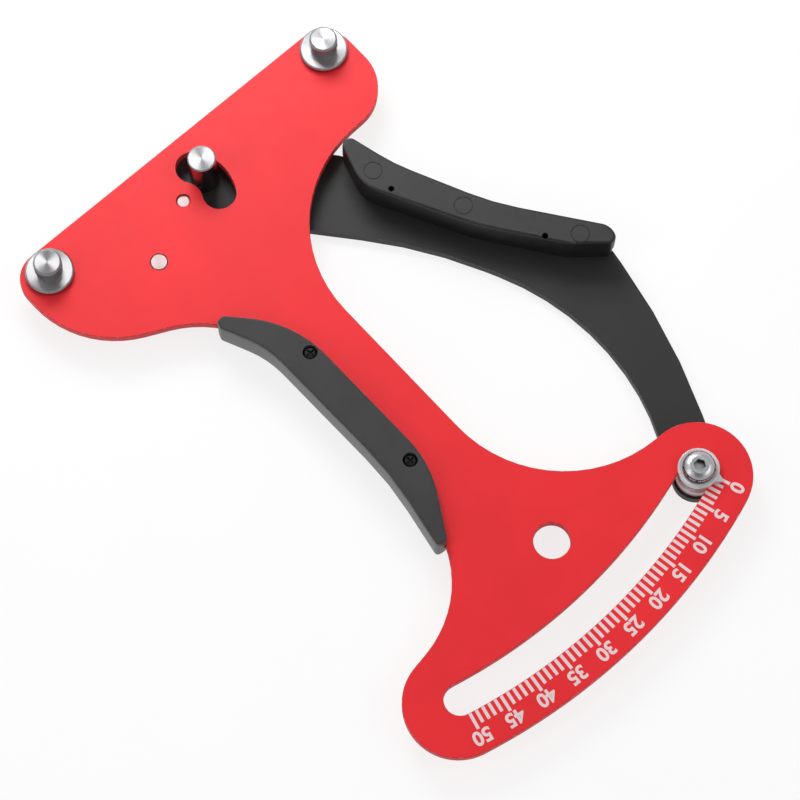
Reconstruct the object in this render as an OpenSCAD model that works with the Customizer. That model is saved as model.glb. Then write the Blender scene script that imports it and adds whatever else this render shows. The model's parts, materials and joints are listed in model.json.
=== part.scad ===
// Spoke tension meter: a flat frame with two fixed posts and a printed scale,
// and a sprung lever behind it that carries the moving post and the pointer.
// Modelled about the lever's pivot, X along the fixed posts, +Y towards them,
// then moved so that the origin is under the middle of the whole tool.

/* [Plates] */
// Thickness of the frame plate
frame_t = 3; // [2.5:0.1:4]
// Thickness of the lever plate
lever_t = 3; // [2.5:0.1:4]
// Gap between the lever plate and the frame plate
plate_gap = 3.3; // [3:0.1:4.5]

/* [Frame outline] */
// Radius of the frame's two lower lobes
lobe_r = 15.6; // [13:0.1:17]
// Right edge of the waist, from the pivot
waist_right = 12.4; // [10:0.1:14]
// Left edge of the waist, from the pivot
waist_left = 10.9; // [9:0.1:11.5]
// Height of the frame's top edge above the fixed posts
top_margin = 7.7; // [7.2:0.1:9]
// Diameter of the hanging hole
hang_d = 10.6; // [6:0.1:14]

/* [Posts] */
// Distance between the two fixed posts
post_span = 106.2; // [100:0.1:112]
// Distance of the left fixed post from the pivot, along the row
post_left = 43.6; // [41:0.1:47]
// Height of the row of fixed posts above the pivot
post_y = 8.5; // [8:0.1:9.5]
// Diameter of a fixed post's flange
flange_d = 14.2; // [12:0.1:15]
// Thickness of a fixed post's flange
flange_t = 2; // [1.5:0.1:3]
// Diameter of a post's head
post_d = 8.3; // [7:0.1:8.6]
// Diameter of the waist under a fixed post's head
neck_d = 7.6; // [6:0.1:7.9]
// Height of a fixed post above the frame's front face
post_h = 8.5; // [7:0.1:10]
// Height of the moving post above the frame's front face
moving_post_h = 9.5; // [8:0.1:11]
// Distance of the moving post from the pivot
moving_r = 10.8; // [10.4:0.1:11.5]
// Diameter of the screw that holds a post
post_screw_d = 4; // [3:0.1:4.5]

/* [Pivot] */
// Diameter of the pivot pin in the lever
journal_d = 6; // [5:0.1:7]
// Diameter of the pin's spigot in the frame plate
spigot_d = 4; // [3:0.1:5]
// Diameter of the pin's head
pin_head_d = 9; // [8:0.1:10]
// Thickness of the pin's head
pin_head_t = 1.2; // [1:0.1:1.6]
// Diameter of the spacer on the pin
spacer_d = 11; // [9:0.1:12]
// Thickness of the bearing washer
washer_t = 0.5; // [0.3:0.1:1]
// Radial clearance of a running fit
run_clear = 0.05; // [0.02:0.01:0.1]

/* [Scale] */
// Radius of the pointer's path and of the slot
scale_r = 169.5; // [166:0.5:172]
// Width of the slot
slot_w = 9.2; // [8:0.1:10]
// Travel of the lever, in degrees
lever_travel = 32.5; // [30:0.1:32.5]

/* [Pointer] */
// Diameter of the pointer's disc
pointer_d = 12; // [10:0.1:13]
// Thickness of the pointer
pointer_t = 1.2; // [0.8:0.1:2]
// Length of the pointer's tip beyond its disc
tip_l = 1.8; // [1:0.1:2.2]
// Gap between the frame's front face and the pointer
pointer_lift = 0.8; // [0.5:0.1:1.5]
// Diameter of the pointer's screw
pointer_screw_d = 5; // [4:0.1:5]
// Diameter of the button head
button_d = 9.6; // [8:0.1:10]
// Height of the button head
button_h = 2.75; // [2:0.05:3]
// Width across the flats of the head's hexagon socket
hex_w = 3; // [2:0.1:3.5]

/* [Grips] */
// Height of the frame grip in front of the plate
frame_grip_front_h = 4; // [3:0.1:5]
// Height of the frame grip behind the plate
frame_grip_rear_h = 3.2; // [2.5:0.1:5]
// Height of the lever grip's cap
cap_h = 6; // [4.5:0.1:7]
// Height of the lever grip's base
base_h = 5.4; // [4:0.1:6.5]
// Set-back of the lever grip's base under its cap
base_step = 0.4; // [0.2:0.1:0.8]
// Bevel of the grips' edges
grip_bevel = 0.8; // [0.4:0.1:1.2]
// Diameter of the grip screws
grip_screw_d = 2.4; // [2:0.1:2.8]

/* [Spring] */
// Diameter of the spring's wire
wire_d = 1; // [0.8:0.05:1]
// Outside diameter of the spring
spring_d = 5.6; // [5:0.1:5.8]
// Distance between two turns of the spring
spring_pitch = 1.5; // [1.45:0.05:2]
// Diameter of the spring's stud in the frame plate
stud_d = 5; // [4.5:0.1:5.2]
// Diameter of the grooves that hold the spring's hooks
groove_d = 2.4; // [2:0.1:2.6]

/* [Hidden] */

FN = 36;            // facets of round features
arc_step = 6;       // degrees between the points of an outline's rounded corner
touch = 0.1;        // clearance between two pieces that are screwed together
eps = 0.5;          // how far a cut runs past a face

// Heights, from the plane that the tool lies on
z_frame = lever_t + plate_gap;             // rear face of the frame plate
z_front = z_frame + frame_t;               // front face of the frame plate
z_flush = 0.1;                             // rear end of what is flush with the lever

// Places on the plates, seen from the pivot. Those in drawn() are given for a
// scale of radius 169.5, and move in and out with scale_r
function drawn(v) = v * scale_r / 169.5;
post_l = [-post_left, post_y];
post_r = [post_span - post_left, post_y];
stud_p = [-17.9, -10];                     // the spring's stud
hang_p = drawn([9.1, -148.1]);             // the hanging hole
moving_a = lever_travel / 2;               // angle of the moving post at rest
pointer_a = 288.65;                        // angle of the pointer at rest
pointer_p = polar(scale_r, pointer_a);
frame_screw_p = drawn([[-4.8, -61.4], [-5.3, -104.6]]);
lever_screw_p = drawn([[46.2, -39.6], [69.4, -80.4]]);
mark_p = drawn([[46.1, -31.8], [58.2, -57.6], [77.4, -86.8]]);

// The arc slot that the moving post swings in, and the slot of the scale
window_clear = 0.8;                        // around the moving post
window_a = [-30, 35];                      // angles of its two ends
slot_a = [pointer_a - lever_travel - 0.15, pointer_a + 0.05];

// The lever's hub and the tail that the spring pulls on
hub_r = 7.4;
hub_top = 15.2;
tail_r = 2.6;
tail_a = 142;
peg_p = polar(14.8, tail_a);
end_r = 6.8;                               // the lever's end, under the pointer

// ---------------------------------------------------------------- functions

function polar(r, a) = r * [cos(a), sin(a)];
function unit(v) = v / norm(v);
function xy(c) = [c.x, c.y];
function arc(c, r, a0, a1, step = arc_step) =
  let (n = max(2, ceil(abs(a1 - a0) / step)))
  [for (i = [0 : n]) c + polar(r, a0 + (a1 - a0) * i / n)];

// Tangent arc of radius p[2] at the corner p, between the corners a and b
function corner(a, p, b) =
  let (u = unit(xy(a) - xy(p)), v = unit(xy(b) - xy(p)),
       half = acos(max(-1, min(1, u * v))) / 2)
  p[2] == 0 || half > 89.9 ? [xy(p)] :
  let (c = xy(p) + unit(u + v) * p[2] / sin(half),
       s = xy(p) + u * p[2] / tan(half) - c,
       e = xy(p) + v * p[2] / tan(half) - c,
       a0 = atan2(s.y, s.x),
       turn = (atan2(e.y, e.x) - a0 + 540) % 360 - 180)
  arc(c, p[2], a0, a0 + turn);

// Closed outline through corners [x, y, radius]
function rounded(c) =
  let (n = len(c))
  [for (i = [0 : n - 1]) each corner(c[(i + n - 1) % n], c[i], c[(i + 1) % n])];

// Angle, seen from the centre c, where the line from p touches the circle;
// side is 1 where the circle lies to the line's right, and -1 to its left
function touch_angle(p, c, r, side) =
  let (d = c - xy(p)) atan2(d.y, d.x) + side * (90 + asin(r / norm(d)));

function sum(v, i = 0) = i >= len(v) ? 0 : v[i] + sum(v, i + 1);
function area(p) =
  let (n = len(p))
  sum([for (i = [0 : n - 1]) cross(p[i], p[(i + 1) % n]) / 2]);
function ccw(p) = area(p) > 0 ? p : [for (i = [len(p) - 1 : -1 : 0]) p[i]];

// A counter-clockwise outline drawn in by d, its edges kept parallel
function left_of(v) = [-v.y, v.x];
function inset(p, d) =
  let (n = len(p))
  [for (i = [0 : n - 1])
    let (a = left_of(unit(p[i] - p[(i + n - 1) % n])),
         b = left_of(unit(p[(i + 1) % n] - p[i])))
    p[i] + (a + b) * d / (1 + a * b)];

function low(list, k) = min([for (p = list) p[k]]);
function high(list, k) = max([for (p = list) p[k]]);

// ----------------------------------------------------------------- outlines

lobe_a = [pointer_a - 0.35, slot_a[0] - 0.3];
lobe_out = 0.6;                            // the lobes' centres lie outside the slot's
lobe_c = [for (a = lobe_a) polar(scale_r + lobe_out, a)];
shoulder_r = post_r + [8, -16.8];          // the right shoulder's lower corner
shoulder_l = post_l + [-9.7, -23.9];       // the left shoulder's lower corner
frame_top = post_y + top_margin;
waist_top = -15.9;                         // where the waist runs into the right shoulder
hand_right = [waist_right, drawn(-144.5), drawn(40.5)];  // waist, right, above the scale
hand_left = [-waist_left, drawn(-144.2), drawn(34)];     // waist, left, above the scale
lobe_touch = [touch_angle(hand_right, lobe_c[0], lobe_r, 1),
              touch_angle(hand_left, lobe_c[1], lobe_r, -1) + 360];
lobe_start = lobe_c[0] + polar(lobe_r, lobe_touch[0]);
lobe_end = lobe_c[1] + polar(lobe_r, lobe_touch[1]);
frame_outline = [
  each rounded([
    [lobe_start.x, lobe_start.y, 0],
    hand_right,
    [waist_right, waist_top - 1.9, 41],
    [shoulder_r.x - 9.7, waist_top, 13.8],
    [shoulder_r.x, shoulder_r.y, 15],
    [shoulder_r.x, frame_top, 10],
    [shoulder_l.x, frame_top, 8.9],
    [shoulder_l.x, shoulder_l.y, 31.9],
    [-waist_left, -36.4, 32.5],
    hand_left,
    [lobe_end.x, lobe_end.y, 0]]),
  each arc(lobe_c[1], lobe_r, lobe_touch[1] + arc_step, lobe_a[1]),
  each arc([0, 0], scale_r + lobe_out + lobe_r, lobe_a[1] + 1, lobe_a[0] - 1, 1.5),
  each arc(lobe_c[0], lobe_r, lobe_a[0] - 360, lobe_touch[0] - arc_step)];

tail_dir = polar(1, tail_a);
tail_side = left_of(tail_dir);             // points away from the hub's top
function tail_point(along, across) =
  peg_p + tail_dir * along + tail_side * across;
lever_out = drawn([67, -152, 25]);         // outer edge, above the pointer
lever_in = drawn([59.5, -135.2, 72]);      // inner edge, above the pointer
end_touch = [touch_angle(lever_out, pointer_p, end_r, 1),
             touch_angle(lever_in, pointer_p, end_r, -1)];
lever_outline = ccw(rounded([
  [10, hub_top, 5],
  each drawn([[46, -18, 15], [52, -34.3, 40], [64.7, -62.8, 60], [85, -91.2, 8],
              [79.4, -124.7, 200]]),
  lever_out,
  each [for (p = arc(pointer_p, end_r, end_touch[0], end_touch[1], 10)) [p.x, p.y, 0]],
  lever_in,
  each drawn([[65.3, -99.4, 80], [45, -56, 143]]),
  [hub_r * 0.55, -hub_r, 5],
  [-hub_r, -hub_r, hub_r - 0.1],
  [-hub_r, 2.5, 2],
  [each tail_point(tail_r, tail_r), tail_r - 0.05],
  [each tail_point(tail_r, -tail_r), tail_r - 0.05],
  [each tail_point(-4.6, -tail_r), 2.5],
  [-1.5, hub_top, 3]]));

frame_grip_outline = ccw(rounded(drawn([
  [-18.4, -36.4, 1.1],
  [-16, -36, 1.5],
  [-1.9, -51.3, 35],
  [-1.3, -108.9, 34],
  [-13.4, -129.2, 1.6],
  [-16.9, -128.6, 1.2],
  [-12.3, -103.8, 100],
  [-13.1, -52.3, 30],
  [-19.2, -38.7, 1.1]])));

lever_grip_outline = ccw(rounded(drawn([
  [48.2, -17.6, 2.2],
  [52.4, -33.9, 60],
  [65.4, -62.3, 80],
  [86, -90.6, 5.2],
  [84, -96.8, 2.4],
  [72.6, -86.8, 20],
  [56.6, -64.4, 80],
  [40.4, -32.8, 11.9],
  [44.6, -19.8, 2.2]])));

// Where the middle of the whole tool lies, seen from the pivot
all_points = concat(frame_outline, lever_outline, lever_grip_outline);
middle = [(low(all_points, 0) + high(all_points, 0)) / 2,
          (low(all_points, 1) + high(all_points, 1)) / 2];

// ------------------------------------------------------------------- shapes

module bore(d, z0, z1) translate([0, 0, z0]) cylinder(h = z1 - z0, d = d, $fn = FN);

// Head of a countersunk screw, or its seat: wide end down at z
module countersink(d0, d1, z) translate([0, 0, z])
  cylinder(h = (d0 - d1) / 2, d1 = d0, d2 = d1, $fn = FN);

// A turned piece from its profile [radius, height]
module turned(profile) rotate_extrude($fn = FN) polygon(profile);

// Triangles that fill an outline, zipped up along its two sides from the edge
// between its last point and its first
function zipped(p, i, j) =
  j - i < 2 ? [] :
  norm(p[i + 1] - p[j]) < norm(p[j - 1] - p[i])
    ? concat([[j, i, i + 1]], zipped(p, i + 1, j))
    : concat([[j - 1, j, i]], zipped(p, i, j - 1));
function flipped(t) = [t[2], t[1], t[0]];

// A solid through outlines of the same number of points, each [points, height]
module loft(rings) {
  n = len(rings[0][0]);
  m = len(rings);
  points = [for (r = rings) each [for (p = r[0]) [p.x, p.y, r[1]]]];
  walls = [for (k = [0 : m - 2], i = [0 : n - 1])
    let (a = k * n, b = (k + 1) * n, j = (i + 1) % n)
    each [[a + i, b + i, b + j], [a + i, b + j, a + j]]];
  bottom = zipped(rings[0][0], 0, n - 1);
  top = [for (t = zipped(rings[m - 1][0], 0, n - 1)) flipped(t) + (m - 1) * n * [1, 1, 1]];
  polyhedron(points, concat(bottom, walls, top), convexity = 6);
}

// Slot round the pivot, of width w, between two angles, with round ends
module arc_slot(r, w, a0, a1, step, h) {
  end_step = 15;
  linear_extrude(h) polygon([
    each arc([0, 0], r + w / 2, a0, a1, step),
    each arc(polar(r, a1), w / 2, a1 + end_step, a1 + 180 - end_step, end_step),
    each arc([0, 0], r - w / 2, a1, a0, step),
    each arc(polar(r, a0), w / 2, a0 + 180 + end_step, a0 + 360 - end_step, end_step)]);
}

// Cross recess in the head of a small screw
module cross_recess(size, z) for (a = [0, 90])
  rotate([0, 0, a]) translate([-size / 2, -size / 9, z]) cube([size, size / 4.5, 2]);

module placed() translate([-middle.x, -middle.y, 0]) children();

// -------------------------------------------------------------------- frame

module frame_plate() color([0.97, 0.28, 0.31]) placed() difference() {
  translate([0, 0, z_frame]) linear_extrude(frame_t) polygon(frame_outline);
  translate([0, 0, z_frame - eps]) {
    arc_slot(moving_r, post_d + 2 * window_clear, window_a[0], window_a[1], 6,
             frame_t + 2 * eps);
    arc_slot(scale_r, slot_w, slot_a[0], slot_a[1], 1, frame_t + 2 * eps);
  }
  bore(spigot_d + 2 * run_clear, z_frame - eps, z_front + eps);
  translate(stud_p) bore(stud_d + 2 * touch, z_frame - eps, z_front + eps);
  translate(hang_p) bore(hang_d, z_frame - eps, z_front + eps);
  for (p = [post_l, post_r])
    translate(p) bore(post_screw_d + 2 * touch, z_frame - eps, z_front + eps);
  for (p = frame_screw_p)
    translate(p) bore(grip_screw_d + 4 * touch, z_frame - eps, z_front + eps);
}

head_bevel = 0.8;
neck_h = 2.4;                              // height of the waist under the head
thread_l = 4;                              // how deep a screw reaches into a post

// A post turned from bar: the waist holds a spoke at its height
module fixed_post() difference() {
  turned([[0, z_front], [flange_d / 2 - 0.2, z_front], [flange_d / 2, z_front + 0.2],
          [flange_d / 2, z_front + flange_t - 0.4],
          [flange_d / 2 - 0.4, z_front + flange_t],
          [neck_d / 2, z_front + flange_t], [neck_d / 2, z_front + flange_t + neck_h],
          [post_d / 2, z_front + flange_t + neck_h + (post_d - neck_d) / 2],
          [post_d / 2, z_front + post_h - head_bevel],
          [post_d / 2 - head_bevel, z_front + post_h], [0, z_front + post_h]]);
  bore(post_screw_d + 2 * run_clear, z_front - eps, z_front + thread_l + eps);
}
module fixed_post_left() color([0.78, 0.78, 0.79]) placed() translate(post_l) fixed_post();
module fixed_post_right() color([0.78, 0.78, 0.79]) placed() translate(post_r) fixed_post();

screw_head_h = 2;                          // of the fixed posts' screws
key_w = 2.5;                               // of the hexagon sockets in their heads
key_h = 1.2;
module post_screws() color([0.6, 0.6, 0.62]) placed()
  for (p = [post_l, post_r]) translate(p) difference() {
    turned([[0, z_frame - screw_head_h], [post_screw_d * 0.8, z_frame - screw_head_h],
            [post_screw_d * 0.9, z_frame - screw_head_h + 0.4],
            [post_screw_d * 0.95, z_frame], [post_screw_d / 2, z_frame],
            [post_screw_d / 2, z_front + thread_l - 0.4],
            [post_screw_d / 2 - 0.4, z_front + thread_l], [0, z_front + thread_l]]);
    translate([0, 0, z_frame - screw_head_h - eps])
      cylinder(h = key_h + eps, d = key_w / cos(30), $fn = 6);
  }

// The pin's head lies in the lever, its journal stands up to the frame plate
z_head = z_flush + pin_head_t;
module pivot_pin() color([0.85, 0.8, 0.78]) placed()
  turned([[0, z_flush], [pin_head_d / 2, z_flush], [pin_head_d / 2, z_head],
          [journal_d / 2, z_head], [journal_d / 2, z_frame], [spigot_d / 2, z_frame],
          [spigot_d / 2, z_front - 1], [spigot_d / 2 - 0.25, z_front - 0.75],
          [0, z_front - 0.75]]);

z_washer = lever_t + run_clear;
module pivot_washer() color([0.9, 0.88, 0.82]) placed() difference() {
  bore(spacer_d, z_washer, z_washer + washer_t);
  bore(journal_d + 2 * touch, z_washer - eps, z_washer + washer_t + eps);
}

module pivot_spacer() color([0.2, 0.2, 0.21]) placed() difference() {
  bore(spacer_d, z_washer + washer_t, z_frame);
  bore(journal_d + 2 * touch, z_washer + washer_t - eps, z_frame + eps);
}

// ------------------------------------------------------------------- spring

hook_z = z_frame - 1.75;                   // height of the hooks
spring_z = z_frame / 2;                    // height of the spring's axis
groove_h = wire_d + 0.3;
collar_h = 0.9;                            // collar of the stud, under the plate

module spring_stud() color([0.85, 0.8, 0.78]) placed() translate(stud_p)
  turned([[0, z_flush + 0.2], [stud_d / 2 - 0.3, z_flush + 0.2],
          [stud_d / 2 - 0.1, z_flush + 0.5], [stud_d / 2 - 0.1, hook_z - groove_h / 2],
          [groove_d / 2, hook_z - groove_h / 2], [groove_d / 2, hook_z + groove_h / 2],
          [stud_d / 2 + 1, hook_z + groove_h / 2], [stud_d / 2 + 1, z_frame],
          [stud_d / 2, z_frame], [stud_d / 2, z_front - 0.2],
          [stud_d / 2 - 0.2, z_front], [0, z_front]]);

module spring_peg() color([0.6, 0.6, 0.62]) placed() translate(peg_p)
  turned([[0, z_flush], [groove_d / 2, z_flush], [groove_d / 2, lever_t],
          [groove_d / 2 + 0.5, lever_t], [groove_d / 2 + 0.5, hook_z - groove_h / 2],
          [groove_d / 2, hook_z - groove_h / 2], [groove_d / 2, hook_z + groove_h / 2],
          [groove_d / 2 + 0.5, hook_z + groove_h / 2],
          [groove_d / 2 + 0.5, z_frame - 0.5], [groove_d / 2 + 0.3, z_frame - 0.3],
          [0, z_frame - 0.3]]);

// The spring in its own axes: x from the stud to the peg, y across, z up
coil_r = (spring_d - wire_d) / 2;
hook_r = groove_d / 2 + wire_d / 2 + 0.1;
spring_l = norm(peg_p - stud_p);
coil_x0 = stud_d / 2 + 1.3;                // where the turns start
coil_room = spring_l - coil_x0 - 6.5;      // the far hook and the peg need the rest
turns = floor(coil_room / spring_pitch);
coil_a = acos((hook_z - spring_z) / coil_r);
coil_y = -coil_r * sin(coil_a);
ring_n = 8;
near_hook = [for (a = [60 : 30 : 270]) [hook_r * cos(a), hook_r * sin(a), hook_z]];
coil = [for (i = [0 : turns * ring_n]) let (a = i * 360 / ring_n - coil_a)
  [coil_x0 + spring_pitch * i / ring_n, coil_r * sin(a), spring_z + coil_r * cos(a)]];
far_hook = [for (a = [-90 : 30 : 120])
  [spring_l + hook_r * cos(a), hook_r * sin(a), hook_z]];
spring_path = concat(near_hook, coil, far_hook);

// A tube of six sides along a path: the rings keep to the upright where the
// path lies flat, and to the spring's axis along its turns
function tangent(p, i) = unit(p[min(i + 1, len(p) - 1)] - p[max(i - 1, 0)]);
function next_side(side, t) = unit(side - t * (side * t));
function sides(p, i = 0, list = []) =
  i == len(p) ? list :
  let (last = i == 0 ? [0, 0, 1] : list[i - 1], s = next_side(last, tangent(p, i)))
  sides(p, i + 1, concat(list, [s]));

module tube(path, d, n = 6) {
  side = sides(path);
  m = len(path);
  points = [for (i = [0 : m - 1]) let (t = tangent(path, i), b = cross(t, side[i]))
    each [for (k = [0 : n - 1])
      path[i] + d / 2 * (side[i] * cos(k * 360 / n) + b * sin(k * 360 / n))]];
  walls = [for (i = [0 : m - 2], k = [0 : n - 1]) let (j = (k + 1) % n)
    each [[i * n + k, (i + 1) * n + k, (i + 1) * n + j],
          [i * n + k, (i + 1) * n + j, i * n + j]]];
  ends = [[for (k = [0 : n - 1]) k], [for (k = [n - 1 : -1 : 0]) (m - 1) * n + k]];
  polyhedron(points, concat(walls, ends), convexity = 8);
}

// Least gap of the spring to itself, between points over half a turn apart
half_turn = ring_n / 2;
spring_gap = min([for (i = [0 : len(spring_path) - 1], j = [i + half_turn + 1 : len(spring_path) - 1])
  norm(spring_path[i] - spring_path[j])]) - wire_d;
echo(spring_turns = turns, spring_least_gap_mm = spring_gap);

module spring() color([0.55, 0.56, 0.58]) placed() {
  d = peg_p - stud_p;
  translate(stud_p) rotate([0, 0, atan2(d.y, d.x)]) tube(spring_path, wire_d);
}

// -------------------------------------------------------------- frame grips

z_split = z_frame + frame_t / 2;           // where the two halves meet
z_grip_top = z_front + frame_grip_front_h;
z_grip_low = z_frame - frame_grip_rear_h;
screw_head_d = grip_screw_d + 1.8;
recess_h = 2.4;                            // depth of the screws' counterbores
rear_skin = 0.8;                           // left under the screws in the rear half

// The rings of a bevelled edge, from the side towards the level face at z; up is
// 1 for a top edge and -1 for a bottom edge
function bevelled(outline, z, up) =
  let (knee = 0.3 * grip_bevel)
  [[outline, z - up * grip_bevel], [inset(outline, knee), z - up * knee],
   [inset(outline, grip_bevel), z]];
function reversed(list) = [for (i = [len(list) - 1 : -1 : 0]) list[i]];

module plate_pocket(z0, z1)
  translate([0, 0, z0]) linear_extrude(z1 - z0) polygon(inset(frame_outline, -touch));

module frame_grip_front() color([0.25, 0.25, 0.26]) placed() difference() {
  loft([[frame_grip_outline, z_split], each bevelled(frame_grip_outline, z_grip_top, 1)]);
  plate_pocket(z_split - eps, z_front);
  for (p = frame_screw_p) translate(p) {
    bore(screw_head_d + 2 * touch, z_grip_top - recess_h, z_grip_top + eps);
    bore(grip_screw_d + 2 * touch, z_split - eps, z_grip_top);
  }
}

module frame_grip_rear() color([0.25, 0.25, 0.26]) placed() difference() {
  loft([each reversed(bevelled(frame_grip_outline, z_grip_low, -1)),
        [frame_grip_outline, z_split]]);
  plate_pocket(z_frame, z_split + eps);
  for (p = frame_screw_p)
    translate(p) bore(grip_screw_d + 2 * run_clear, z_grip_low + rear_skin, z_frame + eps);
}

module frame_grip_screws() color([0.1, 0.1, 0.11]) placed()
  for (p = frame_screw_p) translate(p) difference() {
    union() {
      turned([[0, z_grip_top - recess_h], [screw_head_d / 2, z_grip_top - recess_h],
              [screw_head_d / 2, z_grip_top - 1.4], [screw_head_d / 2 - 0.6, z_grip_top - 0.8],
              [0, z_grip_top - 0.7]]);
      bore(grip_screw_d, z_grip_low + rear_skin + 0.2, z_grip_top - recess_h + 0.1);
    }
    cross_recess(screw_head_d * 0.6, z_grip_top - 1.5);
  }

// -------------------------------------------------------------------- lever

module lever_plate() color([0.24, 0.24, 0.25]) placed() difference() {
  linear_extrude(lever_t) polygon(lever_outline);
  bore(journal_d + 2 * run_clear, -eps, lever_t + eps);
  bore(pin_head_d + 4 * touch, -eps, z_head + run_clear);
  translate(peg_p) bore(groove_d + 2 * run_clear, -eps, lever_t + eps);
  translate(pointer_p) bore(pointer_screw_d + 2 * touch, -eps, lever_t + eps);
  translate(polar(moving_r, moving_a)) {
    bore(post_screw_d + 2 * touch, -eps, lever_t + eps);
    countersink(2 * post_screw_d + eps, post_screw_d, -eps / 2 + touch);
  }
  for (p = lever_screw_p) translate(p) {
    bore(grip_screw_d + 2 * touch, -eps, lever_t + eps);
    countersink(2 * grip_screw_d + eps, grip_screw_d, -eps / 2 + touch);
  }
}

z_moving_top = z_front + moving_post_h;
module moving_post() color([0.78, 0.78, 0.79]) placed()
  translate(polar(moving_r, moving_a)) difference() {
    turned([[0, lever_t], [post_d / 2, lever_t], [post_d / 2, z_moving_top - head_bevel],
            [post_d / 2 - head_bevel, z_moving_top], [0, z_moving_top]]);
    bore(post_screw_d + 2 * run_clear, lever_t - eps, lever_t + thread_l + eps);
  }

// A countersunk screw, flush with the lever's rear face
module flat_screw(d, length) difference() {
  union() {
    countersink(2 * d, d, z_flush);
    bore(d, z_flush + 0.2, z_flush + length);
  }
  cross_recess(d, z_flush - 1.2);
}

module moving_post_screw() color([0.6, 0.6, 0.62]) placed()
  translate(polar(moving_r, moving_a)) flat_screw(post_screw_d, lever_t + thread_l - 0.2);

module lever_grip_screws() color([0.1, 0.1, 0.11]) placed()
  for (p = lever_screw_p) translate(p) flat_screw(grip_screw_d, lever_t + base_h + cap_thread_l);

// ------------------------------------------------------------------ pointer

z_pointer = z_front + pointer_lift;
sleeve_d = slot_w - 0.6;
z_collar = z_frame - 0.2;                  // top of the spacer's wide foot

module pointer_spacer() color([0.78, 0.78, 0.79]) placed() translate(pointer_p) difference() {
  turned([[0, lever_t], [pointer_d / 2 - 0.3, lever_t], [pointer_d / 2, lever_t + 0.3],
          [pointer_d / 2, z_collar - 0.3], [pointer_d / 2 - 0.3, z_collar],
          [sleeve_d / 2, z_collar], [sleeve_d / 2, z_pointer], [0, z_pointer]]);
  bore(pointer_screw_d + 2 * touch, lever_t - eps, z_pointer + eps);
}

tip_half = 20;                             // half the angle of the tip's root
module pointer() color([0.78, 0.78, 0.79]) placed() translate(pointer_p) difference() {
  union() {
    turned([[0, z_pointer], [pointer_d / 2, z_pointer],
            [pointer_d / 2, z_pointer + pointer_t - 0.25],
            [pointer_d / 2 - 0.25, z_pointer + pointer_t], [0, z_pointer + pointer_t]]);
    translate([0, 0, z_pointer]) linear_extrude(pointer_t - 0.3)
      polygon([polar(pointer_d / 2 - 0.5, pointer_a - tip_half),
               polar(pointer_d / 2 + tip_l, pointer_a - 1),
               polar(pointer_d / 2 + tip_l, pointer_a + 1),
               polar(pointer_d / 2 - 0.5, pointer_a + tip_half), [0, 0]]);
  }
  bore(pointer_screw_d + 2 * touch, z_pointer - eps, z_pointer + pointer_t + eps);
}

z_button = z_pointer + pointer_t;
module pointer_screw() color([0.8, 0.8, 0.81]) placed() translate(pointer_p) difference() {
  turned([[0, z_flush], [pointer_screw_d / 2 - 0.3, z_flush],
          [pointer_screw_d / 2, z_flush + 0.3], [pointer_screw_d / 2, z_button],
          [button_d / 2, z_button], [button_d / 2, z_button + 0.4],
          each [for (a = [15 : 15 : 60])
            [button_d / 2 * cos(a) + 0.1, z_button + 0.4 + (button_h - 0.4) * sin(a) / sin(60)]],
          [0, z_button + button_h]]);
  translate([0, 0, z_button + 0.9]) cylinder(h = button_h, d = hex_w / cos(30), $fn = 6);
}

// -------------------------------------------------------------- lever grips

z_base_top = lever_t + base_h;
z_cap_top = z_base_top + cap_h;
base_outline = inset(lever_grip_outline, base_step);
cap_thread_l = 3;                          // how deep the screws reach into the cap
pilot_d = 1.8;                             // of the holes that go on above them
mark_d = 5.6;                              // the moulding marks on the cap
mark_w = 0.25;
mark_h = 0.15;

module lever_grip_base() color([0.17, 0.17, 0.18]) placed() difference() {
  translate([0, 0, lever_t]) linear_extrude(base_h) polygon(base_outline);
  for (p = lever_screw_p) translate(p)
    bore(grip_screw_d + 2 * run_clear, lever_t - eps, z_base_top + eps);
}

module lever_grip_cap() color([0.25, 0.25, 0.26]) placed() difference() {
  loft([[inset(lever_grip_outline, 0.2), z_base_top],
        [lever_grip_outline, z_base_top + 0.2],
        each bevelled(lever_grip_outline, z_cap_top, 1)]);
  for (p = lever_screw_p) translate(p) {
    bore(grip_screw_d + 2 * run_clear, z_base_top - eps, z_base_top + cap_thread_l + 0.2);
    bore(pilot_d, z_base_top, z_cap_top + eps);
  }
  for (p = mark_p) translate(p) difference() {
    bore(mark_d, z_cap_top - mark_h, z_cap_top + eps);
    bore(mark_d - 2 * mark_w, z_cap_top - eps, z_cap_top + 2 * eps);
  }
}

frame_plate();
fixed_post_left();
fixed_post_right();
post_screws();
pivot_pin();
pivot_spacer();
pivot_washer();
spring_stud();
spring();
frame_grip_front();
frame_grip_rear();
frame_grip_screws();
lever_plate();
moving_post();
moving_post_screw();
spring_peg();
pointer();
pointer_screw();
pointer_spacer();
lever_grip_base();
lever_grip_cap();
lever_grip_screws();
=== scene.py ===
"""Looks of a spoke tension meter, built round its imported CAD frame.

Each CAD node is stood for by a copy with softened edges and a material of its
own; the printed scale and the coiled spring are built here. The camera and the
lamps come last. Sizes are in millimetres times MM, in the frame's axes.
"""

import json
import math

import bmesh
import bpy
from mathutils import Matrix, Quaternion, Vector

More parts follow.
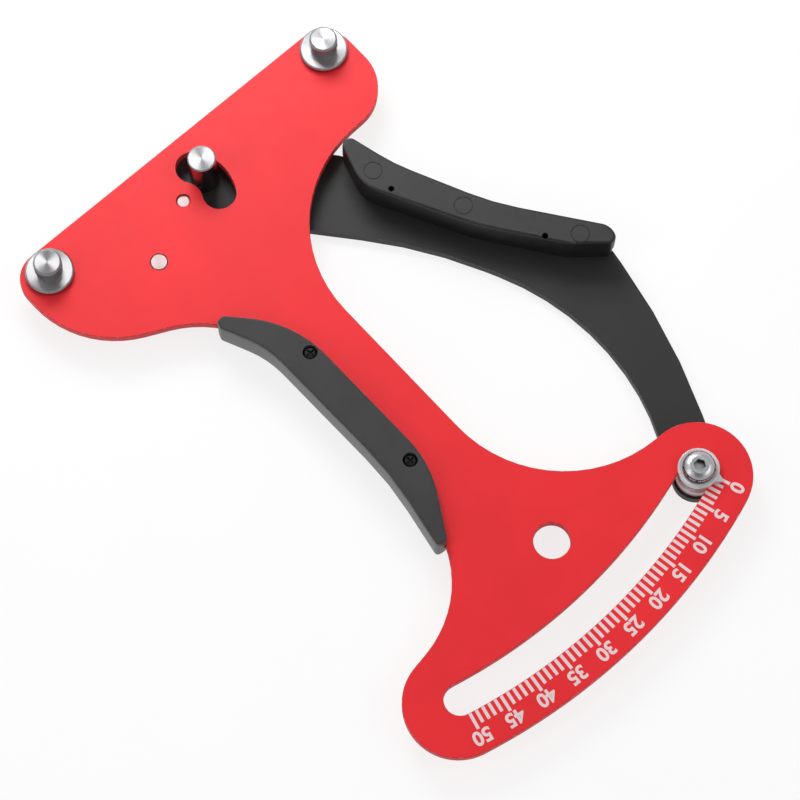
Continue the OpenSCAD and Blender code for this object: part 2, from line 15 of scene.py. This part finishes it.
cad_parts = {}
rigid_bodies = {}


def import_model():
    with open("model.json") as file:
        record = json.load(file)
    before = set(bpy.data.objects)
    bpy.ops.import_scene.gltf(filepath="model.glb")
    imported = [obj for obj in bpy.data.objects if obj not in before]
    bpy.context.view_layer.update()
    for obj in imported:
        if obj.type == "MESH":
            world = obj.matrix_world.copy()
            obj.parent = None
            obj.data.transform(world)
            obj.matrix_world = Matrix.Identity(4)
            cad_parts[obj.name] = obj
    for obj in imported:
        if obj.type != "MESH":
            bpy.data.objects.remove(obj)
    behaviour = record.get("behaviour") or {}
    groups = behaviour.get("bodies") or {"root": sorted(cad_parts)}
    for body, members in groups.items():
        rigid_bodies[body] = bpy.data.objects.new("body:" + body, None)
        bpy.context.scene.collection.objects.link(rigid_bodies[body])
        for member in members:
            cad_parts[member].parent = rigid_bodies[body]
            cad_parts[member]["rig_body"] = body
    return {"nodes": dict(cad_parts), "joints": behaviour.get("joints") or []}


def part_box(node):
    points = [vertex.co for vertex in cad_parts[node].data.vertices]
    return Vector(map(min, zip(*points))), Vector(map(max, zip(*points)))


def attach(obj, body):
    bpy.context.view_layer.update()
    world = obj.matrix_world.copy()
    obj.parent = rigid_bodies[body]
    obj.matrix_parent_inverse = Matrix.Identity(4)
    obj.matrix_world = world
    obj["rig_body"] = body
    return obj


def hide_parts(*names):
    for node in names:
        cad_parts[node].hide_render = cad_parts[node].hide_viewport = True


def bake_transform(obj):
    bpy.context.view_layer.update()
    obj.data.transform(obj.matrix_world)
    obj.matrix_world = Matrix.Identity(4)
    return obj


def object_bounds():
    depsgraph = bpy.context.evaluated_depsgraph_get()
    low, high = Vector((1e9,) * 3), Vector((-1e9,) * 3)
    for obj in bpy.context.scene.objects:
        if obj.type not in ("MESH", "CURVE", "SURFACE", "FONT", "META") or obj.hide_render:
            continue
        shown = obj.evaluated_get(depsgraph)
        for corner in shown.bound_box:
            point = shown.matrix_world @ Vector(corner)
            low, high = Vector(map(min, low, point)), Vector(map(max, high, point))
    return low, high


MM = 0.001
NEAR = 0.01 * MM                    # places this close count as the same

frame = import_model()
cad_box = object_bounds()

# ------------------------------------------------------------ places


def flat(point):
    """The point, drawn down to the plane that the tool lies on."""
    return Vector((point[0], point[1], 0))


def middle(node):
    """The centre of a node's box."""
    low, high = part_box(node)
    return (low + high) / 2


def box_middle(points):
    """The centre of the box round some places on the plates."""
    xs, ys = [p.x for p in points], [p.y for p in points]
    return Vector((min(xs) + max(xs), min(ys) + max(ys))) / 2


PIVOT = flat(frame["joints"][0]["pos_m"])
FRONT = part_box("frame_plate")[1].z  # front face of the frame plate


# ------------------------------------------------------------ materials

GROOVE = 0.22 * MM                  # between the rings of turned metal


def srgb(r, g, b):
    """A linear colour from the 0 to 255 values of a photograph."""
    def linear(v):
        v /= 255
        return v / 12.92 if v <= 0.04045 else ((v + 0.055) / 1.055) ** 2.4
    return (linear(r), linear(g), linear(b), 1)


def scaled(color, k):
    """The colour, lighter or darker by the factor k."""
    return (*[min(1, c * k) for c in color[:3]], 1)


class Look:
    """A Principled material, and short calls for the nodes that drive it."""

    def __init__(self, name, **sockets):
        self.mat = bpy.data.materials.new(name)
        self.mat.use_nodes = True
        self.tree = self.mat.node_tree
        self.shader = self.tree.nodes["Principled BSDF"]
        for key, value in sockets.items():
            self.shader.inputs[key.replace("_", " ")].default_value = value

    def node(self, kind, inputs=None, **props):
        """A new node; an input is a value or another node's socket."""
        n = self.tree.nodes.new("ShaderNode" + kind)
        for key, value in props.items():
            setattr(n, key, value)
        for key, value in (inputs or {}).items():
            if isinstance(value, bpy.types.NodeSocket):
                self.tree.links.new(value, n.inputs[key])
            else:
                n.inputs[key].default_value = value
        return n

    def drive(self, socket, value):
        self.tree.links.new(value, self.shader.inputs[socket])

    def place(self):
        """Where a point lies in the frame's axes, in metres."""
        return self.node("TexCoord").outputs["Object"]

    def noise(self, size, detail=3.0, rough=0.55, at=None, distort=0.0):
        """Noise with features of the given size."""
        return self.node("TexNoise", {
            "Vector": at or self.place(), "Scale": 1 / size, "Detail": detail,
            "Roughness": rough, "Distortion": distort}).outputs[0]

    def ramp(self, value, *stops):
        """A colour ramp through (place, colour or grey) stops."""
        n = self.node("ValToRGB", {0: value})
        points = n.color_ramp.elements
        while len(points) < len(stops):
            points.new(0.5)
        for point, (place, color) in zip(points, stops):
            point.position = place
            point.color = color if isinstance(color, tuple) else (color, color, color, 1)
        return n.outputs[0]

    def mix(self, how_much, a, b, blend="MIX"):
        """Colour a with b laid over it."""
        n = self.node("Mix", data_type="RGBA", blend_type=blend)
        for socket, value in zip((n.inputs[0], n.inputs[6], n.inputs[7]), (how_much, a, b)):
            if isinstance(value, bpy.types.NodeSocket):
                self.tree.links.new(value, socket)
            else:
                socket.default_value = value
        return n.outputs[2]

    def span(self, value, low, high):
        """A 0 to 1 value spread between low and high."""
        return self.node("MapRange", {0: value, 3: low, 4: high}).outputs[0]

    def math(self, operation, a, b=0.0):
        return self.node("Math", {0: a, 1: b}, operation=operation).outputs[0]

    def bump(self, height, depth, strength=1.0):
        """Relief of the given depth."""
        inputs = {"Height": height, "Distance": depth, "Strength": strength}
        return self.node("Bump", inputs).outputs[0]

    def vector(self, operation, a, b=(0, 0, 0), output="Vector"):
        return self.node("VectorMath", {0: a, 1: b}, operation=operation).outputs[output]

    def tones(self, value, color, dark, light, start=0.3):
        """The colour times dark where value is low, up to times light where it is high."""
        return self.mix(self.ramp(value, (start, 0.0), (0.7, 1.0)),
                        scaled(color, dark), scaled(color, light))

    def done(self, tone, rough, relief):
        """The material, with its colour, roughness and relief driven."""
        self.drive("Base Color", tone)
        self.drive("Roughness", rough)
        self.drive("Normal", relief)
        return self.mat


def coating(name, color, *, rough, grain, depth, metallic=0.0, light=1.06, dark=0.93,
            gloss=0.35, worn=None):
    """Paint or anodising: a fine blasted grain under cloudy patches of tone.
    dark and light are the patches' factors of tone, and worn is the colour that
    shows where the edge is rubbed."""
    look = Look(name, Metallic=metallic, Specular_IOR_Level=gloss)
    speck = look.noise(grain, 2.0, 0.6)
    cloud = look.noise(28 * MM, 3.0)
    tone = look.tones(cloud, color, dark, light)
    tone = look.mix(0.16, tone, look.ramp(speck, (0.3, 0.25), (0.7, 0.85)), "OVERLAY")
    if worn:
        rubbed = look.ramp(look.noise(1.6 * MM, 4.0, 0.7), (0.5, 0.0), (0.68, 1.0))
        tone = look.mix(rubbed, tone, worn)
    hazy = look.span(look.noise(5 * MM, 4.0), rough - 0.06, rough + 0.06)
    return look.done(tone, hazy, look.bump(speck, depth))


def milled(name, color, *, rough, metallic):
    """The cut wall of a plate: upright marks of the cutter under the coating."""
    look = Look(name, Metallic=metallic, Specular_IOR_Level=0.12)
    stretched = look.vector("MULTIPLY", look.place(), (1, 1, 0.12))
    marks = look.noise(0.36 * MM, 2.0, 0.5, stretched)
    return look.done(look.tones(marks, color, 0.94, 1.06),
                     look.span(marks, rough - 0.08, rough + 0.08),
                     look.bump(marks, 0.012 * MM, 0.5))


def moulded(name, color, *, rough, grain=0.45 * MM, depth=0.03 * MM):
    """Moulded plastic with a spark-eroded grain and a faint bloom."""
    look = Look(name, Specular_IOR_Level=0.42)
    fine = look.noise(grain, 3.0, 0.65)
    cells = look.node("TexVoronoi", {"Vector": look.place(), "Scale": 0.8 / grain,
                                     "Smoothness": 0.7}, feature="SMOOTH_F1").outputs[0]
    height = look.math("ADD", look.math("MULTIPLY", cells, 0.6), fine)
    bloom = look.noise(14 * MM, 3.0)
    tone = look.mix(look.ramp(fine, (0.62, 0.0), (0.8, 0.35)),
                    look.tones(bloom, color, 0.9, 1.14, start=0.35), scaled(color, 1.7))
    return look.done(tone, look.span(bloom, rough - 0.05, rough + 0.07),
                     look.bump(height, depth, 0.8))


def lathed(name, color, node, *, rough=0.34, fan=0.95, metallic=1.0):
    """Turned metal: fine rings about the node's upright middle axis, whose
    reflection fans out by as much as fan says."""
    look = Look(name, Metallic=metallic, Anisotropic=fan)
    local = look.vector("SUBTRACT", look.place(), middle(node))
    sideways = look.vector("MULTIPLY", local, (1, 1, 0))
    radius = look.vector("LENGTH", sideways, output="Value")
    height = look.node("SeparateXYZ", {0: local}).outputs[2]
    along = look.math("ADD", radius, height)
    rings = look.node("TexNoise", {"W": along, "Scale": 1 / GROOVE, "Detail": 3.0,
                                   "Roughness": 0.6}, noise_dimensions="1D").outputs[0]
    smear = look.noise(1.4 * MM, 3.0)
    tone = look.mix(look.ramp(smear, (0.55, 0.0), (0.75, 0.3)),
                    look.tones(rings, color, 0.9, 1.08), scaled(color, 0.72))
    fans = look.node("Tangent", direction_type="RADIAL", axis="Z")
    look.drive("Tangent", fans.outputs[0])
    return look.done(tone, look.span(rings, rough - 0.05, rough + 0.08),
                     look.bump(rings, 0.004 * MM, 0.5))


def plated(name, color, *, rough, metallic=1.0):
    """Plated or blackened steel: a fine crystalline mottle and handling marks."""
    look = Look(name, Metallic=metallic)
    mottle = look.noise(0.3 * MM, 4.0, 0.65)
    marks = look.noise(2.2 * MM, 4.0, 0.6, distort=1.5)
    tone = look.mix(look.ramp(marks, (0.58, 0.0), (0.75, 0.35)),
                    look.tones(mottle, color, 0.85, 1.1), scaled(color, 0.6))
    return look.done(tone, look.span(marks, rough - 0.07, rough + 0.12),
                     look.bump(mottle, 0.006 * MM, 0.5))


SILVER = srgb(174, 174, 176)

red_face = coating("red_face", srgb(252, 42, 50), rough=0.48, grain=0.16 * MM,
                   depth=0.006 * MM)
red_wall = milled("red_wall", srgb(226, 72, 76), rough=0.5, metallic=0.0)
red_edge = coating("red_edge", srgb(196, 62, 64), rough=0.45, gloss=0.12, grain=0.16 * MM,
                   depth=0.004 * MM, metallic=0.35, worn=srgb(232, 150, 146))
black_face = coating("black_face", srgb(50, 50, 51), rough=0.46, grain=0.22 * MM,
                     depth=0.012 * MM, light=1.12, dark=0.9)
black_wall = milled("black_wall", srgb(52, 52, 53), rough=0.45, metallic=0.1)
black_edge = coating("black_edge", srgb(84, 84, 86), rough=0.42, gloss=0.15, grain=0.2 * MM,
                     depth=0.006 * MM, worn=srgb(150, 150, 150))
grip_face = moulded("grip_face", srgb(56, 56, 57), rough=0.56)
# The grips' walls: the same plastic in a lighter colour, a painted sheen for their smoother
# sides
grip_wall_painted_sheen = moulded("grip_wall_painted_sheen", srgb(92, 92, 92), rough=0.4, grain=0.6 * MM,
                    depth=0.012 * MM)
# The grips' rounded edges: the same plastic painted lighter still, a painted highlight
# along each edge
grip_edge_painted_highlight = moulded("grip_edge_painted_highlight", srgb(112, 112, 112), rough=0.36, depth=0.01 * MM)
# The grips' plastic painted darker: painted shade for the lever grip's walls, its whole
# base and the floors of the cap's ring marks
grip_painted_shade = moulded("grip_painted_shade", srgb(34, 34, 35), rough=0.42, depth=0.015 * MM)
zinc = plated("zinc", srgb(200, 202, 205), rough=0.28)
black_oxide = plated("black_oxide", srgb(34, 34, 35), rough=0.34, metallic=0.6)
wire = plated("wire", srgb(168, 170, 174), rough=0.26)
nylon = moulded("nylon", srgb(226, 222, 208), rough=0.35, grain=0.8 * MM, depth=0.01 * MM)
print_white = coating("print_white", srgb(250, 226, 228), rough=0.6, grain=0.12 * MM,
                      depth=0.004 * MM, light=1.02, dark=0.96)

# ------------------------------------------------------------ geometry

SHARP = math.radians(32)            # an edge that turns by more gets rounded
FLAT = math.radians(0.4)            # faces that meet at less become one
LEVEL = 0.6                         # a face whose normal rises less is a wall
FACE, WALL, EDGE = range(3)         # a dressed node's places for its materials
EDGE_SEGMENTS = 2


def link(obj):
    """Puts the object into the scene."""
    bpy.context.scene.collection.objects.link(obj)
    return obj


def made(name, bm, look):
    """A new object of the mesh, in one material."""
    mesh = bpy.data.meshes.new(name)
    bm.to_mesh(mesh)
    bm.free()
    mesh.materials.append(look)
    return link(bpy.data.objects.new(name, mesh))


def skin(bm, rings):
    """Faces along the rings of corners, and over the first and the last."""
    bm.faces.new(rings[0][::-1])
    bm.faces.new(rings[-1])
    for a, b in zip(rings, rings[1:]):
        for k in range(len(a)):
            j = (k + 1) % len(a)
            bm.faces.new((a[k], a[j], b[j], b[k]))
    bmesh.ops.recalc_face_normals(bm, faces=bm.faces)


def heights(bm):
    """Where the mesh ends below and above."""
    zs = [v.co.z for v in bm.verts]
    return min(zs), max(zs)


def soften(obj, width):
    """Rounds the sharp edges a little, evens the shading of flat faces, and makes
    both plain mesh."""
    bevel = obj.modifiers.new("bevel", "BEVEL")
    bevel.width = width
    bevel.segments = EDGE_SEGMENTS
    bevel.limit_method = "ANGLE"
    bevel.angle_limit = SHARP
    bevel.material = EDGE
    bevel.use_clamp_overlap = True
    normals = obj.modifiers.new("normals", "WEIGHTED_NORMAL")
    normals.keep_sharp = True
    graph = bpy.context.evaluated_depsgraph_get()
    mesh = bpy.data.meshes.new_from_object(
        obj.evaluated_get(graph), preserve_all_data_layers=True, depsgraph=graph)
    mesh.name = obj.name
    obj.modifiers.clear()
    obj.data = mesh


def dress(node, looks, width, reshape=None, sunk=0.0):
    """Replaces the CAD node by a copy with edges rounded to this width. looks are
    the materials of its level faces, its walls and its edges; a shorter list
    repeats its last one. reshape changes the copy first. Level faces up to sunk
    below the top look as the walls do."""
    obj = link(bpy.data.objects.new(node + "_dressed", frame["nodes"][node].data.copy()))
    looks = [*looks, *[looks[-1]] * (3 - len(looks))]
    obj.data.materials.clear()
    for look in looks:
        obj.data.materials.append(look)
    bm = bmesh.new()
    bm.from_mesh(obj.data)
    bmesh.ops.remove_doubles(bm, verts=bm.verts, dist=0.002 * MM)
    if reshape:
        reshape(bm)
    bmesh.ops.dissolve_limit(bm, angle_limit=FLAT, verts=bm.verts, edges=bm.edges)
    bm.normal_update()
    top = heights(bm)[1]
    for face in bm.faces:
        face.smooth = True
        below = top - face.calc_center_median().z
        level = abs(face.normal.z) > LEVEL and not sunk / 2 < below < sunk
        face.material_index = FACE if level else WALL
    for edge in bm.edges:
        edge.smooth = len(edge.link_faces) == 2 and edge.calc_face_angle() < SHARP
    bm.to_mesh(obj.data)
    bm.free()
    soften(obj, width)
    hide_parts(node)
    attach(obj, frame["nodes"][node]["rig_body"])


# One screw of the lever grip stands so near the side that its bore opens there.
# These close the base and the cap, and slim the screw and its hole in the plate.

BORE_REACH = 1.35 * MM              # the bores' radius, and a little
BORES_END = 4 * MM                  # above the cap's rear face they have ended
MARK_DEPTH = 0.2 * MM               # of the cap's ring marks, and a little
HEAD_HEIGHT = 1.1 * MM              # of the countersunk head, less a little
SLIMMER = 0.5                       # of a shank's and a hole's width


def screw_places(node):
    """Where the node's two upright screws stand."""
    corners = [v.co for v in frame["nodes"][node].data.vertices]
    half = middle(node).y
    return [box_middle([p for p in corners if (p.y < half) == near]) for near in (0, 1)]


grip_screws = screw_places("lever_grip_screws")


def by_a_screw(v):
    """Whether a corner belongs to a bore of the grip's screws."""
    return any((v.co.xy - screw).length < BORE_REACH for screw in grip_screws)


def slimmed(v):
    """Draws a corner of a bore or a shank in towards the nearest screw's axis."""
    screw = min(grip_screws, key=lambda place: (v.co.xy - place).length)
    v.co.xy = screw + (v.co.xy - screw) * SLIMMER


def longest_loop(edges):
    """The longest closed ring of corners that the edges make. It starts at the
    first edge that lies on it, so that each run gives the same ring."""
    left = set(edges)
    rings = []
    for edge in edges:
        if edge not in left:
            continue
        ring = [edge.verts[0]]
        while edge is not None:
            left.discard(edge)
            ring.append(edge.other_vert(ring[-1]))
            edge = next((e for e in ring[-1].link_edges if e in left), None)
        rings.append(ring[:-1])
    return max(rings, key=lambda ring: sum(
        (a.co - b.co).length for a, b in zip(ring, ring[1:] + ring[:1])))


def solid_base(bm):
    """The base as a plain prism of its outline, without the bores it hides."""
    low, high = heights(bm)
    rim = [e for e in bm.edges if all(abs(v.co.z - low) < NEAR for v in e.verts)
           and abs(e.link_faces[0].normal.z - e.link_faces[1].normal.z) > 0.5]
    outline = [v.co.xy for v in longest_loop(rim) if not by_a_screw(v)]
    bm.clear()
    skin(bm, [[bm.verts.new((*p, z)) for p in outline] for z in (low, high)])


def solid_cap(bm):
    """The cap with its upper part drawn straight down to its rear face."""
    low = heights(bm)[0]
    bmesh.ops.bisect_plane(bm, geom=[*bm.verts, *bm.edges, *bm.faces], dist=NEAR / 10,
                           plane_co=(0, 0, low + BORES_END), plane_no=(0, 0, 1),
                           clear_inner=True)
    rim = [tuple(e.verts) for e in bm.edges if e.is_boundary]
    corners = dict.fromkeys(v for pair in rim for v in pair)
    under = {v: bm.verts.new((*v.co.xy, low)) for v in corners}
    for a, b in rim:
        bm.faces.new((a, b, under[b], under[a]))
    lower = [bm.edges.get((under[a], under[b])) for a, b in rim]
    bmesh.ops.triangle_fill(bm, use_beauty=True, edges=lower)
    bmesh.ops.recalc_face_normals(bm, faces=bm.faces)


def thin_shank(bm):
    """The screws with slimmer shanks above their heads."""
    head = heights(bm)[0] + HEAD_HEIGHT
    for v in bm.verts:
        if v.co.z > head:
            slimmed(v)


def narrow_bores(bm):
    """The lever plate with its screw holes drawn in at its front face."""
    top = heights(bm)[1]
    for v in bm.verts:
        if v.co.z > top - NEAR and by_a_screw(v):
            slimmed(v)


CAD_BEVEL = 0.8 * MM                # of the posts' heads


def finer_bevel(width):
    """Gives a post's head a bevel of this width in place of the CAD model's."""
    share = width / CAD_BEVEL

    def reshape(bm):
        axis = box_middle([v.co for v in bm.verts])
        top = heights(bm)[1]
        head = [v for v in bm.verts if v.co.z > top - CAD_BEVEL - NEAR]
        radius = max((v.co.xy - axis).length for v in head)
        for v in head:
            out = v.co.xy - axis
            if radius - out.length < CAD_BEVEL + NEAR:
                out *= (radius - (radius - out.length) * share) / out.length
                v.co.x, v.co.y = axis + out
            v.co.z = top - (top - v.co.z) * share
    return reshape


# ------------------------------------------------------------ dressed nodes

dress("frame_plate", [red_face, red_wall, red_edge], 0.22 * MM)
dress("lever_plate", [black_face, black_wall, black_edge], 0.22 * MM,
      reshape=narrow_bores)
dress("frame_grip_front", [grip_face, grip_wall_painted_sheen, grip_edge_painted_highlight], 0.15 * MM)
dress("frame_grip_rear", [grip_face, grip_wall_painted_sheen, grip_edge_painted_highlight], 0.15 * MM)
# The cap's walls and the floors of its ring marks, and the whole base below, are in the
# painted shade
dress("lever_grip_cap", [grip_face, grip_painted_shade, grip_face], 0.15 * MM,
      reshape=solid_cap, sunk=MARK_DEPTH)
dress("lever_grip_base", [grip_painted_shade], 0.2 * MM, reshape=solid_base)

for node in ("fixed_post_left", "fixed_post_right"):
    steel = lathed(node + "_steel", SILVER, node)
    dress(node, [steel], 0.08 * MM, reshape=finer_bevel(0.5 * MM))

moving_end = lathed("moving_post_end", SILVER, "moving_post")
# The shaft is the post's steel painted darker: a painted dark reflection in its side
moving_shaft_painted_reflection = lathed("moving_post_shaft_painted_reflection", srgb(150, 146, 146), "moving_post", rough=0.2,
                      fan=0.5)
dress("moving_post", [moving_end, moving_shaft_painted_reflection, moving_end], 0.06 * MM,
      reshape=finer_bevel(0.3 * MM))

for node in ("pivot_pin", "spring_stud"):
    steel = lathed(node + "_steel", srgb(200, 180, 180), node, rough=0.5, fan=0.3)
    dress(node, [steel], 0.06 * MM)
for node in ("pointer_spacer", "pointer"):
    steel = lathed(node + "_steel", srgb(228, 228, 230), node, rough=0.42, fan=0.6,
                   metallic=0.5)
    dress(node, [steel], 0.06 * MM)

button_top = lathed("button_top", srgb(214, 215, 218), "pointer_screw", fan=0.2)
# The head's rim and the foot of its dome are the screw's steel painted dark: a painted dark
# reflection round the head
button_rim_painted_reflection = lathed("button_rim_painted_reflection", srgb(84, 84, 86), "pointer_screw", rough=0.24, fan=0.2)
dress("pointer_screw", [button_top, button_rim_painted_reflection], 0.06 * MM)

for node in ("post_screws", "moving_post_screw", "spring_peg"):
    dress(node, [zinc], 0.05 * MM)
dress("frame_grip_screws", [black_oxide], 0.04 * MM)
dress("lever_grip_screws", [black_oxide], 0.04 * MM, reshape=thin_shank)
dress("pivot_spacer", [black_oxide], 0.08 * MM)
dress("pivot_washer", [nylon], 0.05 * MM)

# ------------------------------------------------------------ printed scale

PRINT = 0.02 * MM                   # thickness of the print
ZERO_ANGLE = 288.86                 # of the first tick, seen from the pivot
SPAN = 32.7                         # degrees from 0 to 50
BOW = 1.4                           # the ticks stand a little closer near zero
BOW_SKEW = 1.16
TICKS = 50
NUMBERED = 5                        # each fifth tick is longer and has its number
TICK_WIDTH = 0.95 * MM
TICK_INNER = 174.25 * MM
TICK_OUTER = 178.1 * MM, 179.2 * MM        # of a plain and of a numbered tick
NUMBER_RADIUS = 181.75 * MM
NUMBER_HEIGHT = 4.1 * MM
CAP_SHARE = 0.73                    # height of a figure as a share of the type size
STROKE = 0.03                       # what thickens the figures' strokes


def tick_angle(value):
    """The angle of a value's tick, seen from the pivot."""
    t = value / TICKS
    bow = BOW * t * (1 - t) * (1 + BOW_SKEW * (1 - 2 * t))
    return math.radians(ZERO_ANGLE - SPAN * t + bow)


def on_scale(radius, angle, across=0.0, up=0.0):
    """A point of the frame's front, seen from the pivot."""
    out = Vector((math.cos(angle), math.sin(angle), 0))
    side = Vector((-out.y, out.x, 0))
    return PIVOT + out * radius + side * across + Vector((0, 0, FRONT + up))


def printed(name, bm):
    """The print's mesh as a piece that lies on the frame."""
    obj = made(name, bm, print_white)
    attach(obj, "frame")


bm = bmesh.new()
for value in range(TICKS + 1):
    angle = tick_angle(value)
    outer = TICK_OUTER[value % NUMBERED == 0]
    corners = (TICK_INNER, -1), (outer, -1), (outer, 1), (TICK_INNER, 1)
    skin(bm, [[bm.verts.new(on_scale(r, angle, side * TICK_WIDTH / 2, up))
               for r, side in corners] for up in (0.0, PRINT)])
printed("scale_ticks", bm)

bm = bmesh.new()
for value in range(0, TICKS + 1, NUMBERED):
    curve = bpy.data.curves.new("figure", "FONT")
    curve.body = str(value)
    curve.size = NUMBER_HEIGHT / CAP_SHARE
    curve.offset = STROKE * curve.size
    curve.extrude = PRINT / 2
    curve.align_x = "CENTER"
    curve.resolution_u = 6
    figure = link(bpy.data.objects.new("figure", curve))
    mesh = bpy.data.meshes.new_from_object(figure.evaluated_get(
        bpy.context.evaluated_depsgraph_get()))
    angle = tick_angle(value)
    base = on_scale(NUMBER_RADIUS - NUMBER_HEIGHT / 2, angle, up=PRINT / 2)
    mesh.transform(Matrix.Translation(base) @ Matrix.Rotation(angle - math.pi / 2, 4, "Z"))
    bm.from_mesh(mesh)
    bpy.data.objects.remove(figure)
printed("scale_numbers", bm)

# ------------------------------------------------------------ spring

WIRE = 1.0 * MM
COIL_RADIUS = 2.3 * MM              # of the wire's middle
PITCH = 1.5 * MM
TURNS = 6
HOOK_RADIUS = 1.8 * MM
HOOK_Z = 4.55 * MM                  # height of the two hooks
HOOK_STEPS = 21
HOOK_TURN = 210                     # degrees from a hook's start to its end
HOOK_STARTS = 60, -90               # degrees, round the stud and round the peg
COIL_START = 3.8 * MM               # from the stud's axis
AXIS_Z = 3.15 * MM                  # height of the coil's axis
TURN_STEPS = 28
WIRE_SIDES = 14

stud = flat(middle("spring_stud"))
reach = flat(middle("spring_peg")) - stud
along = reach.normalized()
across = Vector((-along.y, along.x, 0))


def spring_point(x, y, z):
    """A point x along and y beside the line from the stud to the peg."""
    return stud + along * x + across * y + Vector((0, 0, z))


def hook(x, start):
    """The middle of a hook's wire, round the line's point x."""
    points = []
    for k in range(HOOK_STEPS + 1):
        a = math.radians(start + HOOK_TURN * k / HOOK_STEPS)
        points.append(spring_point(x + HOOK_RADIUS * math.cos(a),
                                   HOOK_RADIUS * math.sin(a), HOOK_Z))
    return points


def turn(k):
    """The middle of the coil's wire after k steps of its turns."""
    a = 2 * math.pi * k / TURN_STEPS - math.acos((HOOK_Z - AXIS_Z) / COIL_RADIUS)
    return spring_point(COIL_START + PITCH * k / TURN_STEPS, COIL_RADIUS * math.sin(a),
                        AXIS_Z + COIL_RADIUS * math.cos(a))


def tube(name, path, look):
    """A wire along the path, with closed ends."""
    bm = bmesh.new()
    side = Vector((0, 0, 1))
    rings = []
    for i, point in enumerate(path):
        ahead = (path[min(i + 1, len(path) - 1)] - path[max(i - 1, 0)]).normalized()
        side = (side - ahead * side.dot(ahead)).normalized()
        other = ahead.cross(side)
        angles = [2 * math.pi * k / WIRE_SIDES for k in range(WIRE_SIDES)]
        rings.append([bm.verts.new(point + WIRE / 2 * (
            math.cos(a) * side + math.sin(a) * other)) for a in angles])
    skin(bm, rings)
    for face in bm.faces:
        face.smooth = True
    return made(name, bm, look)


path = [*hook(0, HOOK_STARTS[0]), *[turn(k) for k in range(TURNS * TURN_STEPS + 1)],
        *hook(reach.length, HOOK_STARTS[1])]
coil = tube("spring_coil", path, wire)
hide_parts("spring")
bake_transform(coil)

# ------------------------------------------------------------ floor

FLOOR_GLOW = 1.06                   # what the camera and mirrors see of the floor
GLOW_SHARE = 0.76                   # by this share, so that its shadows stay faint
FLOOR_HALF = 2.5                    # metres from its middle to its sides

floor_look = Look("floor", Roughness=0.85)
paper = floor_look.noise(60 * MM, 4.0)
floor_look.drive("Base Color", floor_look.ramp(paper, (0.3, 0.88), (0.7, 0.92)))
glow = floor_look.node("Emission", {"Color": (1, 1, 1, 1), "Strength": FLOOR_GLOW})
ray = floor_look.node("LightPath").outputs
mirrored = floor_look.math("MAXIMUM", ray["Is Glossy Ray"], ray["Is Transmission Ray"])
seen = floor_look.math("MAXIMUM", ray["Is Camera Ray"], mirrored)
share = floor_look.math("MULTIPLY", seen, GLOW_SHARE)
lit = floor_look.node("MixShader", {0: share, 1: floor_look.shader.outputs[0],
                                    2: glow.outputs[0]})
output = next(n for n in floor_look.tree.nodes if n.type == "OUTPUT_MATERIAL")
floor_look.tree.links.new(lit.outputs[0], output.inputs["Surface"])

bm = bmesh.new()
bmesh.ops.create_grid(bm, x_segments=8, y_segments=8, size=FLOOR_HALF)
floor = made("floor", bm, floor_look.mat)
floor.location.z = cad_box[0].z - 2 * NEAR

# ------------------------------------------------------------ light


def towards(azimuth, elevation):
    """A direction from its angles in degrees; azimuth 0 is the -Y side."""
    a, e = math.radians(azimuth), math.radians(elevation)
    return Vector((math.sin(a) * math.cos(e), -math.cos(a) * math.cos(e), math.sin(e)))


# A pale room with a dark patch on the photographer's side, which polished metal shows
PHOTO_SIDE = towards(-43.1, 70.5)
ROOM_LIGHT = 0.45
ROOM_DARK = 0.02
DARK_FROM, DARK_TO = math.cos(math.radians(32)), math.cos(math.radians(18))

world = bpy.data.worlds.new("studio")
bpy.context.scene.world = world
world.use_nodes = True
room = world.node_tree
direction = room.nodes.new("ShaderNodeTexCoord").outputs["Generated"]
facing = room.nodes.new("ShaderNodeVectorMath")
facing.operation = "DOT_PRODUCT"
facing.inputs[1].default_value = PHOTO_SIDE
room.links.new(direction, facing.inputs[0])
patch = room.nodes.new("ShaderNodeMapRange")
for socket, value in zip(patch.inputs[1:5], (DARK_FROM, DARK_TO, ROOM_LIGHT, ROOM_DARK)):
    socket.default_value = value
room.links.new(facing.outputs["Value"], patch.inputs["Value"])
background = room.nodes["Background"]
background.inputs["Color"].default_value = (1, 1, 1, 1)
room.links.new(patch.outputs["Result"], background.inputs["Strength"])


def softbox(name, azimuth, elevation, distance, size, power):
    """An area lamp that looks at the tool; distance and size are in metres."""
    lamp = bpy.data.lights.new(name, "AREA")
    lamp.shape = "RECTANGLE"
    lamp.size, lamp.size_y = size
    lamp.energy = power
    obj = link(bpy.data.objects.new(name, lamp))
    side = towards(azimuth, elevation)
    obj.location = side * distance
    obj.rotation_mode = "QUATERNION"
    obj.rotation_quaternion = (-side).to_track_quat("-Z", "Y")


softbox("key", 158, 43, 0.5, (0.25, 0.2), 1.36)
softbox("fill", 40, 48, 1.4, (0.8, 0.5), 2.4)
softbox("side", -110, 40, 1.3, (0.35, 1.0), 2.0)

# ------------------------------------------------------------ camera

AIM = PIVOT + Vector((5.51, -88.39, 0)) * MM + Vector((0, 0, FRONT))
DISTANCE = 857.1 * MM
ROLL = math.radians(1)
LENS, SENSOR = 135, 36              # millimetres

camera = bpy.data.cameras.new("camera")
camera.lens = LENS
camera.sensor_width = SENSOR
camera.clip_start, camera.clip_end = 0.05, 20
eye = link(bpy.data.objects.new("camera", camera))
eye.location = AIM + PHOTO_SIDE * DISTANCE
eye.rotation_mode = "QUATERNION"
eye.rotation_quaternion = ((-PHOTO_SIDE).to_track_quat("-Z", "Y")
                           @ Quaternion((0, 0, 1), ROLL))
bpy.context.scene.camera = eye
bpy.context.scene.view_settings.view_transform = "Standard"
